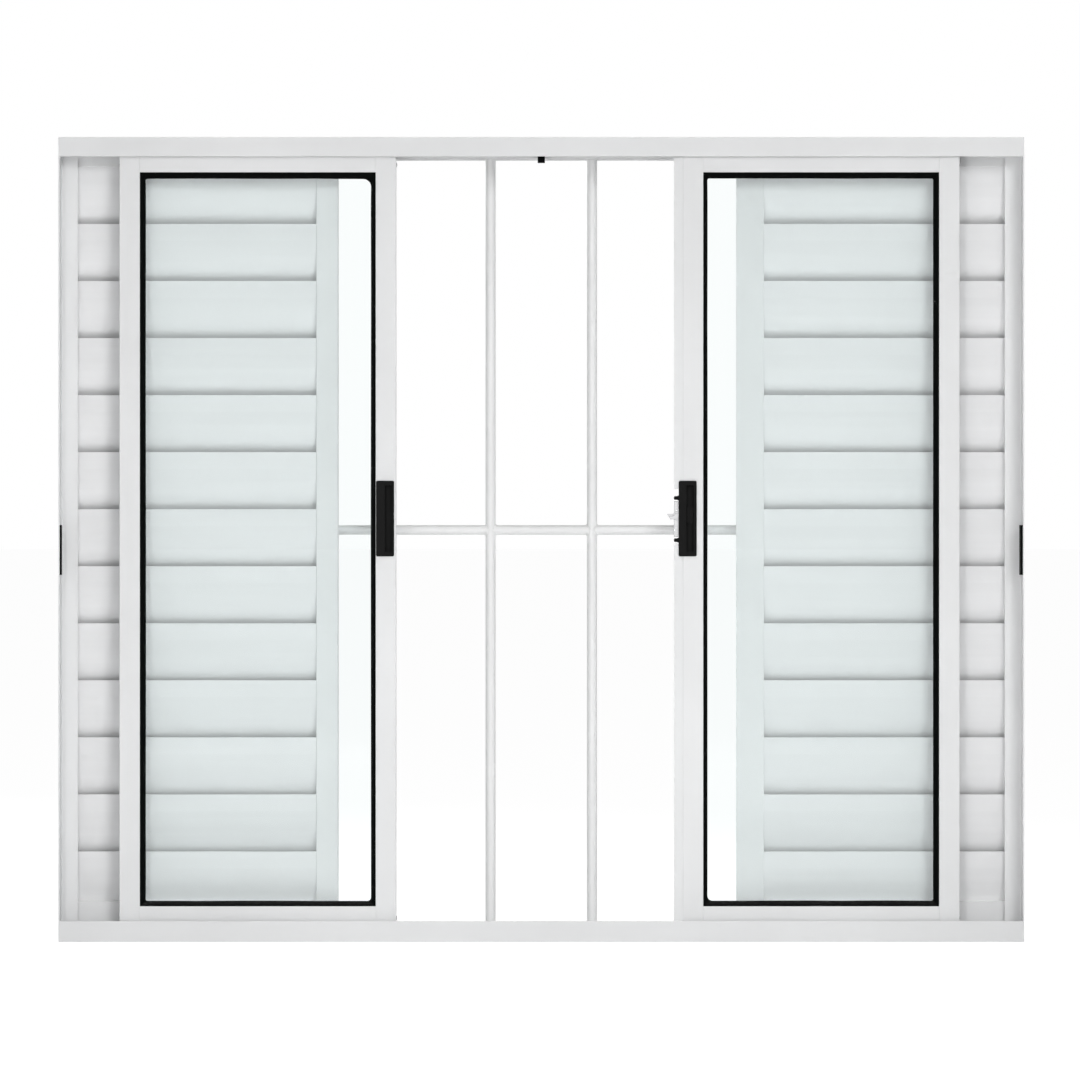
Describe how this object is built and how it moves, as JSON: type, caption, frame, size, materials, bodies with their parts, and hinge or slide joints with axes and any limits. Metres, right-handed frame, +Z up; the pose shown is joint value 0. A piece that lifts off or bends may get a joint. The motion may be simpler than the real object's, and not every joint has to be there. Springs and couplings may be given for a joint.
{
  "type": "aluminium sliding window with louvred shutters",
  "caption": "White aluminium sliding window with glazed leaves, louvred shutter leaves and a grille of round bars in one slim frame.",
  "frame": {"origin": "middle of the sill's underside, half-way through the frame's depth", "axes": "+X to the right as seen from the room, +Y from the room to the outside, +Z up"},
  "size_m": [1.2, 0.1096, 1],
  "materials": {
    "white_profile": "satin powder coat",
    "white_slat": "satin powder coat",
    "white_bar": "satin powder coat",
    "black_rubber": "matte",
    "black_plastic": "satin",
    "bright_steel": "polished",
    "nylon": "matte",
    "clear_glass": "clear float glass"
  },
  "bodies": {
    "window": {"fixed_shutter_left_rails": "white_profile", "fixed_shutter_left_slats": "white_slat", "fixed_shutter_left_stiles": "white_profile", "fixed_shutter_right_rails": "white_profile", "fixed_shutter_right_slats": "white_slat", "fixed_shutter_right_stiles": "white_profile", "frame_head": "white_profile", "frame_jamb_left": "white_profile", "frame_jamb_right": "white_profile", "frame_sill": "white_profile", "glass_leaf_left_bottom_rail": "white_profile", "glass_leaf_left_gasket": "black_rubber", "glass_leaf_left_meeting_stile": "white_profile", "glass_leaf_left_outer_stile": "white_profile", "glass_leaf_left_pane": "clear_glass", "glass_leaf_left_pull": "black_plastic", "glass_leaf_left_rollers": "nylon", "glass_leaf_left_top_rail": "white_profile", "glass_leaf_right_bottom_rail": "white_profile", "glass_leaf_right_gasket": "black_rubber", "glass_leaf_right_meeting_cover": "white_profile", "glass_leaf_right_meeting_stile": "white_profile", "glass_leaf_right_outer_stile": "white_profile", "glass_leaf_right_pane": "clear_glass", "glass_leaf_right_pull": "black_plastic", "glass_leaf_right_rollers": "nylon", "glass_leaf_right_top_rail": "white_profile", "grille_bars": "white_bar", "grille_crossbar": "white_bar", "head_centre_stop": "black_rubber", "jamb_buffer_left": "black_rubber", "jamb_buffer_right": "black_rubber", "latch_case": "bright_steel", "latch_hook": "bright_steel", "latch_lever": "black_plastic", "latch_studs": "black_plastic"},
    "shutter_left": {"sliding_shutter_left_rails": "white_profile", "sliding_shutter_left_rollers": "nylon", "sliding_shutter_left_slats": "white_slat", "sliding_shutter_left_stiles": "white_profile"},
    "shutter_right": {"sliding_shutter_right_rails": "white_profile", "sliding_shutter_right_rollers": "nylon", "sliding_shutter_right_slats": "white_slat", "sliding_shutter_right_stiles": "white_profile"}
  },
  "joints": [
    {"name": "shutter_left_slide", "type": "slide", "parent": "window", "child": "shutter_left", "axis": [1, 0, 0], "range_m": [0, 0.2513]},
    {"name": "shutter_right_slide", "type": "slide", "parent": "window", "child": "shutter_right", "axis": [-1, 0, 0], "range_m": [0, 0.2406]}
  ]
}
